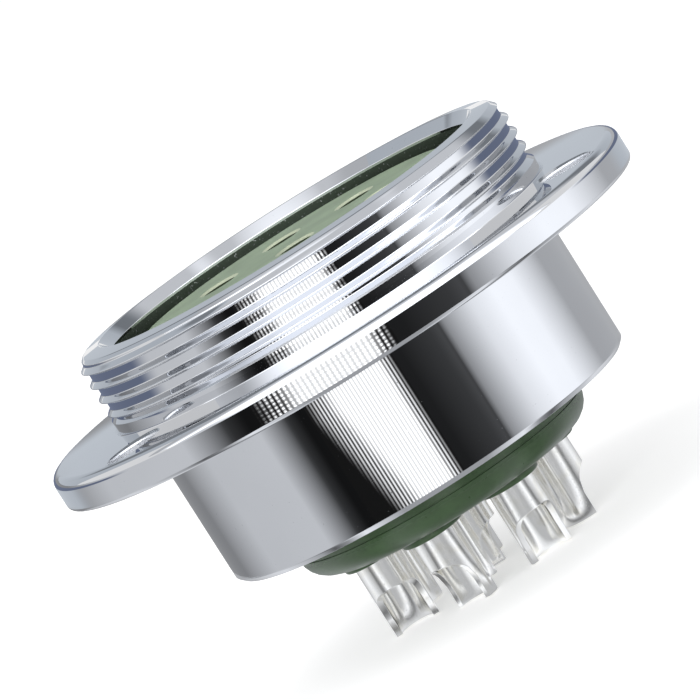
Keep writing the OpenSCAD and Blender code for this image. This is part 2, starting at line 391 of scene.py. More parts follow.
def turned_rings(finish, scale):
    """Fine rings round the axis, as a tool leaves them on a turned surface."""
    flat = finish.stretched((1, 1, 0))
    out = finish.node("ShaderNodeVectorMath", {"operation": "LENGTH"}, {0: flat}, "Value")
    inputs = {"W": (out + finish.height()) * scale, "Scale": 1.0, "Detail": 3.0}
    return finish.node("ShaderNodeTexNoise", {"noise_dimensions": "1D"}, inputs)


def chrome_finish(finishes):
    """Bright chrome over turned metal, with faint rings of the tool and a thin haze."""
    finish = Finish(bpy.data.materials.new("chrome_plate"))
    coarse, fine = turned_rings(finish, 4.0), turned_rings(finish, 17.0)
    barrel = finish.ramp(finish.height(), 0.0, -0.4)
    haze = finish.noise(0.35, detail=4.0)
    specks = finish.ramp(finish.noise(5.0, detail=1.0), 0.74, 0.80)
    base = finish.mix(haze, shade(finishes.chrome, 0.95), shade(finishes.chrome))
    return finish.principled({
        "Base Color": finish.mix(specks * 0.25, base, shade(finishes.chrome, 0.55)),
        "Metallic": 1.0,
        "Roughness": 0.012 + haze * 0.02 + specks * 0.1,
        "Normal": finish.bump(coarse * 0.2 + fine * (0.04 + barrel * 0.3), strength=0.05, distance=0.01 * MM),
    })


def bored_brightened_finish(finishes):
    """Thin chrome on bored walls, dull and speckled, and paler than the plate outside as painted light that
    brightens the holes.
    """
    finish = Finish(bpy.data.materials.new("bored_chrome_brightened"))
    rings = turned_rings(finish, 6.0)
    grain = finish.noise(7.0, detail=4.0)
    specks = finish.ramp(grain, 0.58, 0.70)
    return finish.principled({
        # Chrome lifted above its own colour: painted light inside the holes and bores, with real speckles
        "Base Color": finish.mix(specks, shade(finishes.chrome, 1.1), shade(finishes.chrome, 1.35)),
        "Metallic": 1.0,
        "Roughness": 0.42 - specks * 0.2,
        "Normal": finish.bump(rings * 0.5 + grain * 0.5, strength=0.35, distance=0.02 * MM),
    })


def pocket_shade_finish(finishes):
    """The pocket's wall, painted dark green as shade and as the green moulding's reflection in the chrome,
    with bright specks of plate.
    """
    finish = Finish(bpy.data.materials.new("pocket_wall_painted_shade"))
    rings = turned_rings(finish, 6.0)
    grain = finish.noise(6.0, detail=3.0)
    specks = finish.ramp(grain, 0.63, 0.72)
    return finish.principled({
        # Dark green of painted shade and painted reflection, with specks of real plate
        "Base Color": finish.mix(specks, shade(finishes.pocket), shade(finishes.chrome, 0.8)),
        "Metallic": 0.5 + specks * 0.5,
        "Roughness": 0.34 - specks * 0.14,
        "Normal": finish.bump(rings * 0.5 + grain * 0.5, strength=0.3, distance=0.02 * MM),
    })


def moulding_finish(name, green, roughness, gloss_z=None):
    """Moulded plastic with a faint grain and a slightly uneven colour, glossier above a given height."""
    finish = Finish(bpy.data.materials.new(name))
    cloud = finish.noise(0.45, detail=3.0)
    grain = finish.noise(14.0, detail=2.0)
    flow = finish.noise(3.0, detail=4.0)
    uneven = finish.ramp(cloud * 0.7 + flow * 0.3, 0.3, 0.7)
    satin = roughness - 0.06 + flow * 0.12
    if gloss_z is not None:
        gloss_from = gloss_z / MM
        satin = satin * finish.ramp(finish.height(), gloss_from, gloss_from - 0.3, least=0.4)
    return finish.principled({
        "Base Color": finish.mix(uneven, shade(green, 0.86), shade(green, 1.14)),
        "Roughness": satin,
        "Normal": finish.bump(grain * 0.6 + flow * 0.4, strength=0.18, distance=0.02 * MM),
    })


def silver_finish(finishes):
    """Silver plate with fine drawn lines along the contact and a faint warm tarnish."""
    finish = Finish(bpy.data.materials.new("silver_plate"))
    lines = finish.noise(9.0, detail=3.0, vector=finish.stretched((1, 1, 0.06)))
    cloud = finish.noise(0.9, detail=3.0)
    specks = finish.ramp(finish.noise(11.0, detail=2.0), 0.60, 0.72)
    base = finish.mix(finish.ramp(cloud, 0.45, 0.75), shade(finishes.silver), shade(finishes.tarnish))
    return finish.principled({
        "Base Color": finish.mix(specks * 0.2, base, shade(finishes.silver, 0.6)),
        "Metallic": 1.0,
        "Roughness": 0.08 + lines * 0.10 + specks * 0.10,
        "Normal": finish.bump(lines * 0.7 + specks * 0.3, strength=0.10, distance=0.02 * MM),
    })


def strip_finish(name, tone, roughness):
    """Bright spring strip with fine scratches."""
    finish = Finish(bpy.data.materials.new(name))
    rings = turned_rings(finish, 14.0)
    cloud = finish.noise(0.8, detail=3.0)
    return finish.principled({
        "Base Color": finish.mix(cloud, shade(tone, 0.8), shade(tone, 1.1)),
        "Metallic": 1.0,
        "Roughness": roughness + rings * 0.15,
        "Normal": finish.bump(rings, strength=0.2, distance=0.01 * MM),
    })


def rounded_path(corners, step=math.radians(15)):
    """Points and outward normals along a half section, whose material lies on the left.

    Each corner is a radius, a height and the rounding of that corner.
    """
    spots = [np.array(c[:2], float) for c in corners]
    points, normals = [], []

    def outward(way):
        return np.array([way[1], -way[0]])

    for i, corner in enumerate(corners):
        if i in (0, len(corners) - 1):
            way = spots[1] - spots[0] if i == 0 else spots[-1] - spots[-2]
            points.append(spots[i])
            normals.append(outward(way / np.linalg.norm(way)))
            continue
        come = (spots[i] - spots[i - 1]) / np.linalg.norm(spots[i] - spots[i - 1])
        go = (spots[i + 1] - spots[i]) / np.linalg.norm(spots[i + 1] - spots[i])
        turn = math.atan2(come[0] * go[1] - come[1] * go[0], come @ go)
        side = math.copysign(1.0, turn)
        first = outward(come)
        start = spots[i] - come * corner[2] * math.tan(abs(turn) / 2)
        middle = start - side * first * corner[2]
        count = max(2, math.ceil(abs(turn) / step))
        for k in range(count + 1):
            angle = turn * k / count
            normal = np.array([
                first[0] * math.cos(angle) - first[1] * math.sin(angle),
                first[0] * math.sin(angle) + first[1] * math.cos(angle),
            ])
            points.append(middle + side * normal * corner[2])
            normals.append(normal)
    return np.array(points), np.array(normals)


class Skin:
    """A closed surface put together from rings of vertices that carry their true normals."""

    def __init__(self):
        self.points, self.normals, self.faces, self.looks = [], [], [], []

    def ring(self, points, normals):
        """Adds one ring of vertices and gives their numbers."""
        first = len(self.points)
        self.points += [tuple(p) for p in points]
        self.normals += [tuple(n) for n in normals]
        return list(range(first, len(self.points)))

    def strips(self, rings, look=0):
        """Joins each ring to the next. The look is a material's number, or gives it for a height."""
        for low, high in zip(rings, rings[1:]):
            middle = (self.points[low[0]][2] + self.points[high[0]][2]) / 2
            self.looks += [look(middle) if callable(look) else look] * (2 * len(low))
            for j in range(len(low)):
                k = (j + 1) % len(low)
                self.faces += [(low[j], low[k], high[k]), (low[j], high[k], high[j])]

    def lathe(self, path, segments, centre=(0.0, 0.0)):
        """Turns a path round an upright axis and gives its rings."""
        angles = np.arange(segments) * 2 * math.pi / segments
        cos, sin, none = np.cos(angles), np.sin(angles), np.zeros(segments)
        rings = []
        for (r, z), (nr, nz) in zip(*path):
            points = np.stack([centre[0] + r * cos, centre[1] + r * sin, none + z], 1)
            rings.append(self.ring(points, np.stack([nr * cos, nr * sin, none + nz], 1)))
        return rings

    def fill(self, loops, up):
        """Fills the flat area between an outer loop and the loops inside it."""
        flat = bmesh.new()
        number = {}
        edges = []
        for loop in loops:
            corners = [flat.verts.new(self.points[i]) for i in loop]
            number.update(zip(corners, loop))
            edges += [flat.edges.new((a, b)) for a, b in zip(corners, corners[1:] + corners[:1])]
        bmesh.ops.triangle_fill(flat, use_beauty=True, edges=edges, normal=(0, 0, 1 if up else -1))
        for face in flat.faces:
            corners = [number[v] for v in face.verts]
            face.normal_update()
            self.faces.append(tuple(corners if (face.normal.z > 0) == up else reversed(corners)))
            self.looks.append(0)
        flat.free()

    def slope(self, height, edge_r, angle):
        """Raises a flat face into a low cone that meets its edge where it was."""
        near, upward = 0.01 * MM, 0.99
        for i, (x, y, z) in enumerate(self.points):
            if abs(z - height) < near and self.normals[i][2] > upward:
                r = math.hypot(x, y)
                out = math.sin(angle) / r
                self.points[i] = (x, y, z + (edge_r - r) * math.tan(angle))
                self.normals[i] = (x * out, y * out, math.cos(angle))

    def make(self, name, materials):
        """The finished object."""
        mesh = bpy.data.meshes.new(name)
        mesh.from_pydata(self.points, [], self.faces)
        mesh.polygons.foreach_set("use_smooth", [True] * len(mesh.polygons))
        mesh.polygons.foreach_set("material_index", self.looks)
        mesh.normals_split_custom_set_from_vertices(self.normals)
        return place_piece(name, mesh, materials)


class Sleeve:
    """A tube wall in cells, some of them open, that closes itself round each opening."""

    def __init__(self):
        self.points, self.faces = [], []

    def vertex(self, centre, radius, angle, z):
        """Adds a vertex round an upright axis and gives its number."""
        self.points.append((centre[0] + radius * math.cos(angle), centre[1] + radius * math.sin(angle), z))
        return len(self.points) - 1

    def wall(self, outer, inner, solid, closed):
        """Faces of the cells between rows of outer and inner vertices."""
        rows, columns = len(outer), len(outer[0])
        spans = columns if closed else columns - 1

        def there(i, j):
            if not 0 <= i < rows - 1:
                return False
            return solid(i, j % spans) if closed or 0 <= j < spans else False

        for i in range(rows - 1):
            for j in range(spans):
                if not there(i, j):
                    continue
                k = (j + 1) % columns
                self.faces.append((outer[i][j], outer[i][k], outer[i + 1][k], outer[i + 1][j]))
                self.faces.append((inner[i][k], inner[i][j], inner[i + 1][j], inner[i + 1][k]))
                if not there(i - 1, j):
                    self.faces.append((outer[i][k], outer[i][j], inner[i][j], inner[i][k]))
                if not there(i + 1, j):
                    self.faces.append((outer[i + 1][j], outer[i + 1][k], inner[i + 1][k], inner[i + 1][j]))
                if not there(i, j - 1):
                    self.faces.append((outer[i][j], outer[i + 1][j], inner[i + 1][j], inner[i][j]))
                if not there(i, j + 1):
                    self.faces.append((outer[i + 1][k], outer[i][k], inner[i][k], inner[i + 1][k]))

    def make(self, name, material, edge):
        """The finished object, with its sharp edges broken."""
        mesh = bpy.data.meshes.new(name)
        mesh.from_pydata(self.points, [], self.faces)
        mesh.validate()
        mesh.polygons.foreach_set("use_smooth", [True] * len(mesh.polygons))
        piece = place_piece(name, mesh, [material])
        bevel = piece.modifiers.new("broken_edges", "BEVEL")
        bevel.width = edge
        bevel.segments = 2
        bevel.limit_method = "ANGLE"
        bevel.angle_limit = math.radians(35)
        bevel.harden_normals = True
        return piece


def new_object(name, data):
    """A new object in the scene."""
    made = bpy.data.objects.new(name, data)
    bpy.context.scene.collection.objects.link(made)
    return made


def place_piece(name, mesh, materials):
    """Puts a mesh in the scene as a piece of the connector."""
    for material in materials:
        mesh.materials.append(material)
    piece = new_object(name, mesh)
    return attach(piece, "root")


def soft_min(a, b, width):
    """The lower of two values, with a rounded change from one to the other."""
    return (a + b - np.sqrt((a - b) ** 2 + width**2)) / 2


def thread_rows(sizes, low_z, high_z, high_r):
    """Points and normals of a right-hand thread from the neck to the chamfer, which ends at a given radius.

    A row rises by as much as the thread does over one segment, so that diagonals follow the helix.
    """
    # Steps of height and of turns over which slopes are taken
    small, part_turn = 0.002 * MM, 1e-4
    crest = mount_radius("coupling_thread")
    heights = np.append(np.arange(low_z, high_z - small, sizes.pitch / sizes.segments), high_z)
    angles = np.arange(sizes.segments) * 2 * math.pi / sizes.segments
    turn = (angles - sizes.crest_turn) / (2 * math.pi)

    def radius(z, turned):
        off = ((z / sizes.pitch - turned + 0.5) % 1.0 - 0.5) * sizes.pitch
        ridge = crest
        for way, flank in ((1, sizes.front_flank), (-1, sizes.rear_flank)):
            side = crest - (way * off - sizes.crest_width / 2) * math.tan(flank)
            ridge = soft_min(ridge, side, sizes.thread_round)
        ridge = -soft_min(-ridge, sizes.depth - crest, sizes.thread_round)
        runout = crest + low_z - z
        ridge = np.minimum(-soft_min(-ridge, -runout, sizes.thread_round), crest)
        return soft_min(ridge, high_r + high_z - z, sizes.thread_round)

    z, turned = heights[:, None], turn[None, :]
    r = radius(z, turned)
    r[0], r[-1] = crest, high_r
    up = (radius(z + small, turned) - radius(z - small, turned)) / (2 * small)
    twist = (radius(z, turned + part_turn) - radius(z, turned - part_turn)) / (4 * math.pi * part_turn)
    cos, sin = np.cos(angles), np.sin(angles)
    normals = np.stack([r * cos + twist * sin, r * sin - twist * cos, -r * up], 2)
    normals /= np.linalg.norm(normals, axis=2, keepdims=True)
    points = np.stack([r * cos, r * sin, np.broadcast_to(z, r.shape)], 2)
    return points, normals


def build_shell(sizes, materials):
    """The shell: a lathe section with a helical thread, and a flange with three screw holes.

    The materials are those of the outside, of the bores, paler with painted light, and of the pocket, with
    painted shade and reflection.
    """
    skin = Skin()
    # The bores' chrome is lightened with painted light; the pocket's wall carries painted shade and a painted
    # green reflection
    bored, pocket = 1, 2
    edge = sizes.edge
    flange_r = node_high("shell").x
    rim_z, barrel_z = node_high("shell").z, node_low("shell").z
    barrel_r, crest = mount_radius("panel_barrel"), mount_radius("coupling_thread")
    ring_low, ring_high = node_low("retaining_ring").z - sizes.groove_gap, node_high("retaining_ring").z
    front_z = sizes.flange_thick
    corner_z = rim_z - sizes.rim_drop
    thread_low, thread_high = front_z + sizes.neck, corner_z - sizes.rim_round / 2
    thread_end = sizes.rim_radius + sizes.rim_round / 2
    bevel_z = rim_z - sizes.mouth_depth
    floor_z = rim_z - sizes.pocket_depth
    seat_z = floor_z - sizes.lip_thick
    groove_r = sizes.bore_radius + sizes.groove
    neck = skin.lathe(rounded_path([
        (crest + 2 * sizes.neck_round, front_z, 0),
        (crest, front_z, sizes.neck_round),
        (crest, thread_low, 0),
    ]), sizes.segments)
    thread = [skin.ring(p, n) for p, n in zip(*thread_rows(sizes, thread_low, thread_high, thread_end))]
    rim = skin.lathe(rounded_path([
        (thread_end - edge / 10, thread_high + edge / 10, 0),
        (sizes.rim_radius, corner_z, sizes.rim_round),
        (sizes.mouth_radius, rim_z, edge),
        (sizes.pocket_radius, bevel_z, edge),
        (sizes.pocket_radius, bevel_z - 2 * edge, 0),
    ]), sizes.segments)
    inside = skin.lathe(rounded_path([
        (sizes.pocket_radius, bevel_z - 3 * edge, 0),
        (sizes.pocket_radius, floor_z, edge),
        (sizes.lip_radius, floor_z, edge),
        (sizes.lip_radius, seat_z, edge),
        (sizes.bore_radius, seat_z, edge),
        (sizes.bore_radius, ring_high, edge),
        (groove_r, ring_high, edge),
        (groove_r, ring_low, edge),
        (sizes.bore_radius, ring_low, edge),
        (sizes.bore_radius, barrel_z + 3 * edge, 0),
    ]), sizes.segments)
    barrel = skin.lathe(rounded_path([
        (sizes.bore_radius, barrel_z + 2 * edge, 0),
        (sizes.bore_radius, barrel_z, edge),
        (barrel_r - sizes.barrel_chamfer, barrel_z, edge),
        (barrel_r, barrel_z + sizes.barrel_chamfer, edge),
        (barrel_r, 0.0, edge),
        (barrel_r + 2 * edge, 0.0, 0),
    ]), sizes.segments)
    skin.strips(neck + thread + rim)
    skin.strips(rim[-1:] + inside + barrel[:1], lambda z: pocket if z > floor_z + edge else bored)
    skin.strips(barrel)
    brim = skin.lathe(rounded_path([
        (flange_r - 2 * sizes.flange_rear_round, 0.0, 0),
        (flange_r, 0.0, sizes.flange_rear_round),
        (flange_r, front_z, sizes.flange_front_round),
        (flange_r - 1.1 * sizes.flange_front_round, front_z, 0),
    ]), sizes.segments)
    skin.strips(brim)
    screws = MOUNTS["flange_screws"]["dims"]
    hole_r, circle_r = screws["hole_r_mm"] * MM, screws["pcd_mm"] / 2 * MM
    # Strips of a screw hole's rounded edges that have the outside's finish
    edge_strips = 3
    front_loops, rear_loops = [brim[-1], neck[0]], [brim[0], barrel[-1]]
    for i in range(screws["count"]):
        angle = math.pi / 2 + i * 2 * math.pi / screws["count"]
        hole = skin.lathe(rounded_path([
            (hole_r + 1.5 * sizes.hole_round, front_z, 0),
            (hole_r, front_z, sizes.hole_round),
            (hole_r, 0.0, sizes.hole_round),
            (hole_r + 1.5 * sizes.hole_round, 0.0, 0),
        ]), sizes.hole_segments, (circle_r * math.cos(angle), circle_r * math.sin(angle)))
        skin.strips(hole[edge_strips:-edge_strips], bored)
        skin.strips(hole[:edge_strips + 1])
        skin.strips(hole[-edge_strips - 1:])
        front_loops.append(hole[0])
        rear_loops.append(hole[-1])
    skin.fill(front_loops, True)
    skin.fill(rear_loops, False)
    skin.slope(front_z, math.hypot(*skin.points[brim[-1][0]][:2]), sizes.flange_slope)
    return skin.make("plated_shell", materials)


def drilled_moulding(name, outside, hole, look, sizes, materials):
    """A turned moulding whose two flat ends are drilled at every contact.

    The outside runs from the rear end to the front end, and a hole from the front to the rear.
    The look gives the number of a hole's material for a height.
    """
    skin = Skin()
    body = skin.lathe(rounded_path(outside), sizes.segments)
    skin.strips(body)
    fronts, rears = [body[-1]], [body[0]]
    for centre in CENTRES:
        bore = skin.lathe(rounded_path(hole), sizes.bore_segments, centre)
        skin.strips(bore, look)
        fronts.append(bore[0])
        rears.append(bore[-1])
    skin.fill(fronts, True)
    skin.fill(rears, False)
    return skin.make(name, materials)


def build_contact_face(sizes, materials):
    """The front moulding with a bevelled hole ahead of each socket.

    The materials are those of the face, a lighter copy of the moulding green with painted light, of the
    bevels, with a painted highlight, and of the bores, with painted shade.
    """
    # The face carries painted light, the bevels a painted highlight, and the bores painted shade
    face, cut, bored = range(3)
    edge = sizes.edge
    face_z, joint_z = node_high("front_insulator").z, node_low("front_insulator").z
    flange_r = node_high("front_insulator").x
    entry = mount_radius(SOCKETS[0]) + sizes.entry_gap
    bevel = sizes.entry_bevel
    outside = [
        (flange_r - 3 * edge, joint_z, 0),
        (flange_r, joint_z, edge),
        (flange_r, sizes.seat_z, edge),
        (sizes.face_radius, sizes.seat_z, edge),
        (sizes.face_radius, face_z, sizes.face_round),
        (sizes.face_radius - 2 * sizes.face_round, face_z, 0),
    ]
    hole = [
        (entry + 2 * bevel, face_z, 0),
        (entry + bevel, face_z, bevel / 5),
        (entry, face_z - bevel, bevel / 5),
        (entry, face_z - sizes.face_wall, edge),
        (sizes.room_radius, face_z - sizes.face_wall, edge),
        (sizes.room_radius, joint_z, edge),
        (sizes.room_radius + 2 * edge, joint_z, 0),
    ]

    def look(z):
        if z < face_z - bevel:
            return bored
        return cut if z < face_z - bevel / 20 else face

    return drilled_moulding("contact_face", outside, hole, look, sizes, materials)


def build_rear_moulding(sizes, contact, material):
    """The rear moulding with its parting line and a raised ring round each solder cup."""
    edge = sizes.edge
    joint_z, collar_z = node_high("rear_insulator").z, node_low("rear_insulator").z
    hub_z = collar_z + sizes.collar_height
    flange_r = node_high("rear_insulator").x
    part_z = hub_z + sizes.hub_round
    stem = contact.radius + sizes.contact_gap
    shoulder = node_high(f"contact_{MIDDLE}").x + sizes.contact_gap
    shoulder_z = contact.shoulder_top_z - contact.shoulder_thick
    outside = [
        (sizes.hub_radius - sizes.hub_round - edge / 4, hub_z, 0),
        (sizes.hub_radius, hub_z, sizes.hub_round - edge / 2),
        (sizes.hub_radius, part_z, edge / 3),
        (sizes.hub_radius - sizes.parting, part_z, edge / 3),
        (sizes.hub_radius - sizes.parting, part_z + sizes.parting, edge / 3),
        (sizes.hub_radius, part_z + sizes.parting, edge / 3),
        (sizes.hub_radius, sizes.ring_front_z, edge),
        (flange_r, sizes.ring_front_z, edge),
        (flange_r, joint_z, edge),
        (flange_r - 3 * edge, joint_z, 0),
    ]
    hole = [
        (shoulder + 2 * edge, joint_z, 0),
        (shoulder, joint_z, edge),
        (shoulder, shoulder_z, edge),
        (stem, shoulder_z, edge),
        (stem, collar_z, edge),
        (sizes.collar_radius, collar_z, sizes.collar_round),
        (sizes.collar_radius, hub_z, edge / 2),
        (sizes.collar_radius + edge, hub_z, 0),
    ]
    return drilled_moulding("rear_moulding", outside, hole, 0, sizes, [material])


def spaced(marks, step):
    """Angles once round that hold every mark, with even steps between the marks."""
    marks = sorted({round(m % (2 * math.pi), 9) for m in marks})
    angles = []
    for low, high in zip(marks, marks[1:] + [marks[0] + 2 * math.pi]):
        count = max(1, math.ceil((high - low) / step))
        angles += [low + (high - low) * k / count for k in range(count)]
    return angles


def turned_from(angle, middle):
    """An angle measured from another, between half a turn either way."""
    return (angle - middle + math.pi) % (2 * math.pi) - math.pi


def narrowed(angle, openings, edge_out, edge_in):
    """An outer wall's angle moved so that an opening's edges fall where the inner wall has them.

    The openings are the angles of their middles, which lie evenly round the wall.
    """
    middle = min(openings, key=lambda o: abs(turned_from(angle, o)))
    reach = math.pi / len(openings)
    off = turned_from(angle, middle)
    if abs(off) <= edge_out:
        return middle + off * edge_in / edge_out
    share = (reach - abs(off)) / (reach - edge_out)
    return middle + math.copysign(reach - share * (reach - edge_in), off)


def build_contact(number, sizes, material):
    """One contact: a slotted socket, a shoulder, a stem and a solder cup cut open along one side."""
    node = f"contact_{number}"
    centre = CENTRES[number - 1]
    end_z, mouth_z = node_low(node).z, node_high(node).z
    radius, cup_bore, pin_bore = sizes.radius, sizes.cup_bore, mount_radius(SOCKETS[number - 1])
    shoulder_r = node_high(f"contact_{MIDDLE}").x
    cup_turn, slot_turn = sizes.cup_turns[number - 1], sizes.slot_turn
    cut_out, cut_in = (math.acos(sizes.scoop_plane / r) for r in (radius, cup_bore))
    slot_out, slot_in = (math.asin(sizes.slot_width / 2 / r) for r in (radius, pin_bore))
    slots = [slot_turn, slot_turn + math.pi]
    marks = [cup_turn - cut_out, cup_turn + cut_out] + [s + d for s in slots for d in (-slot_out, slot_out)]
    angles = spaced(marks, sizes.step)
    columns = len(angles)
    middles = [a + turned_from(b, a) / 2 for a, b in zip(angles, angles[1:] + angles[:1])]
    sleeve = Sleeve()

    def cut_height(angle, r):
        """Height of the scoop's end over a point of a wall, or of its straight part's top."""
        x = r * math.cos(turned_from(angle, cup_turn))
        flat_z = end_z + sizes.scoop_length
        if x <= sizes.scoop_plane:
            return flat_z
        short = sizes.scoop_plane + sizes.scoop_round - x
        return flat_z + math.sqrt(max(0.0, sizes.scoop_round**2 - short**2))

    def row(r, turns, heights):
        return [sleeve.vertex(centre, r, a, z) for a, z in zip(turns, heights)]

    cup_angles = [narrowed(a, [cup_turn], cut_out, cut_in) for a in angles]
    cup_top = end_z + sizes.cup_depth
    low_rows, high_rows = 4, 5
    outer, inner = [], []
    for rows, r, turns in ((outer, radius, angles), (inner, cup_bore, cup_angles)):
        cuts = [cut_height(a, r) for a in turns]
        for i in range(low_rows):
            share = i / low_rows
            rows.append(row(r, turns, [end_z + share * sizes.scoop_length] * columns))
        for i in range(high_rows + 1):
            share = i / high_rows
            rows.append(row(r, turns, [c + share * (cup_top - c) for c in cuts]))

    def cup(i, j):
        return i >= low_rows or abs(turned_from(middles[j], cup_turn)) > cut_out

    sleeve.wall(outer, inner, cup, True)
    close_bore(sleeve, centre, inner[-1], cup_top + cup_bore / math.tan(sizes.drill_angle), True)

    slot_angles = [narrowed(a, slots, slot_out, slot_in) for a in angles]
    depths = (sizes.pin_depth, sizes.slot_length, sizes.slot_length / 2, 0.0)
    levels = [mouth_z - depth for depth in depths]
    tine_outer = [row(radius, angles, [z] * columns) for z in levels]
    tine_inner = [row(pin_bore, slot_angles, [z] * columns) for z in levels]

    def tine(i, j):
        return i == 0 or min(abs(turned_from(middles[j], s)) for s in slots) > slot_out

    sleeve.wall(tine_outer, tine_inner, tine, True)
    close_bore(sleeve, centre, tine_inner[0], levels[0] - pin_bore / math.tan(sizes.drill_angle), False)
    top_z = sizes.shoulder_top_z
    low_z = top_z - sizes.shoulder_thick
    shoulder = ((radius, low_z), (shoulder_r, low_z), (shoulder_r, top_z), (radius, top_z))
    stem = [outer[-1]] + [row(r, angles, [z] * columns) for r, z in shoulder] + [tine_outer[0]]
    for low, high in zip(stem, stem[1:]):
        for j in range(columns):
            k = (j + 1) % columns
            sleeve.faces.append((low[j], low[k], high[k], high[j]))
    drop_inner_caps(sleeve, outer[-1], inner[-1])
    drop_inner_caps(sleeve, tine_outer[0], tine_inner[0])
    return sleeve.make(f"contact_{number}_plated", material, sizes.edge)


def close_bore(sleeve, centre, ring, tip_z, up):
    """The cone that a drill leaves at the end of a bore."""
    tip = sleeve.vertex(centre, 0.0, 0.0, tip_z)
    for j in range(len(ring)):
        k = (j + 1) % len(ring)
        sleeve.faces.append((ring[k], ring[j], tip) if up else (ring[j], ring[k], tip))


def drop_inner_caps(sleeve, outer, inner):
    """Takes out the faces across a wall where solid metal goes on."""
    corners = set(outer) | set(inner)
    sleeve.faces = [f for f in sleeve.faces if not (len(f) == 4 and set(f) <= corners)]


def split_ring(name, node, centre, radii, start, opening, step, edge, material):
    """A ring or sleeve of strip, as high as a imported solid, that is open over an angle."""
    sleeve = Sleeve()
    heights = node_low(node).z, node_high(node).z
    inner_r, outer_r = radii
    count = math.ceil((2 * math.pi - opening) / step)
    angles = [start + opening / 2 + (2 * math.pi - opening) * k / count for k in range(count + 1)]

    def rows(r):
        return [[sleeve.vertex(centre, r, a, z) for a in angles] for z in heights]

    sleeve.wall(rows(outer_r), rows(inner_r), lambda i, j: True, False)
    return sleeve.make(name, material, edge)


class CONNECTOR_OT_plated_shell(bpy.types.Operator):
    """Build the chrome-plated shell with its thread and flange"""

    bl_idname = "connector.plated_shell"
    bl_label = "Plated shell"

    def execute(self, context):
        scene = context.scene
        finishes = scene.connector_finishes
        # The bored chrome is lightened with painted light; the pocket's wall carries painted shade and a
        # painted green reflection
        materials = [chrome_finish(finishes), bored_brightened_finish(finishes), pocket_shade_finish(finishes)]
        piece = build_shell(scene.connector_shell, materials)
        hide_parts("shell")
        return {"FINISHED"}


class CONNECTOR_OT_contact_face(bpy.types.Operator):
    """Build the front moulding with the holes of the contact face"""

    bl_idname = "connector.contact_face"
    bl_label = "Contact face"

    def execute(self, context):
        scene = context.scene
        finishes = scene.connector_finishes
        materials = [
            # The face's green is a lighter copy that carries painted light
            moulding_finish("face_moulding", finishes.face_lit_green, roughness=0.5),
            # The bevels' paler green is a painted highlight
            moulding_finish("bevel_highlights", finishes.bevel_highlight_green, roughness=0.5),
            # The bores' dark green is painted shade
            moulding_finish("face_bores_painted_shade", finishes.bore_shade_green, roughness=0.6),
        ]
        piece = build_contact_face(scene.connector_mouldings, materials)
        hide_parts("front_insulator")
        return {"FINISHED"}


class CONNECTOR_OT_rear_moulding(bpy.types.Operator):
    """Build the rear moulding with its raised rings"""

    bl_idname = "connector.rear_moulding"
    bl_label = "Rear moulding"

    def execute(self, context):
        scene = context.scene
        sizes = scene.connector_mouldings
        part_z = node_low("rear_insulator").z + sizes.collar_height + sizes.hub_round
        # The rear moulding's green is a darker copy that carries painted shade
        green = scene.connector_finishes.rear_shaded_green
        material = moulding_finish("rear_moulding", green, roughness=0.3, gloss_z=part_z)
        piece = build_rear_moulding(sizes, scene.connector_contacts, material)
        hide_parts("rear_insulator")
        return {"FINISHED"}


class CONNECTOR_OT_contacts(bpy.types.Operator):
    """Build the silver-plated contacts with their solder cups"""

    bl_idname = "connector.contacts"
    bl_label = "Contacts"

    def execute(self, context):
        scene = context.scene
        material = silver_finish(scene.connector_finishes)
        for number in range(1, MIDDLE + 1):
            piece = build_contact(number, scene.connector_contacts, material)
            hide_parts(f"contact_{number}")
        return {"FINISHED"}


class CONNECTOR_OT_spring_sleeves(bpy.types.Operator):
    """Build the spring sleeve round each socket"""

    bl_idname = "connector.spring_sleeves"
    bl_label = "Spring sleeves"

    def execute(self, context):
        scene = context.scene
        sizes = scene.connector_contacts
        material = strip_finish("spring_strip", scene.connector_finishes.bronze, roughness=0.25)
        outer_r = -node_low(f"contact_spring_{MIDDLE}").x
        radii = outer_r - sizes.spring_wall, outer_r
        for number in range(1, MIDDLE + 1):
            node = f"contact_spring_{number}"
            piece = split_ring(
                f"spring_sleeve_{number}", node, CENTRES[number - 1], radii, sizes.slot_turn,
                sizes.spring_gap, sizes.step, sizes.edge, material,
            )
            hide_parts(node)
        return {"FINISHED"}


class CONNECTOR_OT_retaining_ring(bpy.types.Operator):
    """Build the split ring that holds the mouldings in the shell"""

    bl_idname = "connector.retaining_ring"
    bl_label = "Retaining ring"

    def execute(self, context):
        scene = context.scene
        sizes = scene.connector_contacts
        material = strip_finish("ring_steel", scene.connector_finishes.steel, roughness=0.3)
        outer_r = -node_low("retaining_ring").y
        radii = outer_r - sizes.ring_width, outer_r
        piece = split_ring(
            "snap_ring", "retaining_ring", (0.0, 0.0), radii, math.pi / 2, sizes.ring_opening, sizes.step / 3,
            2 * sizes.edge, material,
        )
        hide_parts("retaining_ring")
        return {"FINISHED"}


# Tints of the studio: cool walls and softbox, a bluer ceiling, and a dark strip along the far walls
COOL = (0.97, 0.99, 1.03)
DUSK = (0.93, 1.0, 1.09)
STRIP = (0.17, 0.20, 0.29)
WHITE = (1.0, 1.0, 1.0)
# Levels of the ceiling's pale left and of the walls' pale top and belt, and of the ceiling's right
PALE = 0.62
RIGHT_LEVEL = 0.8
# Degrees that a card takes up all round the connector, from the camera
ALL_ROUND = (-180, 180)
# Levels of the walls by the angle to the right of the camera: a pale wall, a dark gap and a framed softbox
WALL_LEVELS = (
    (-180, 0.35), (-130, 0.30), (-100, 0.75), (-62, 0.80), (-46, 0.05), (-40, 0.01), (14, 0.02), (30, 0.06),
    (35, 0.10), (35.6, 0.02), (37, 0.35), (54, 1.15), (68, 1.45), (82, 1.40), (108, 0.55), (140, 0.55),
    (180, 0.35),
)
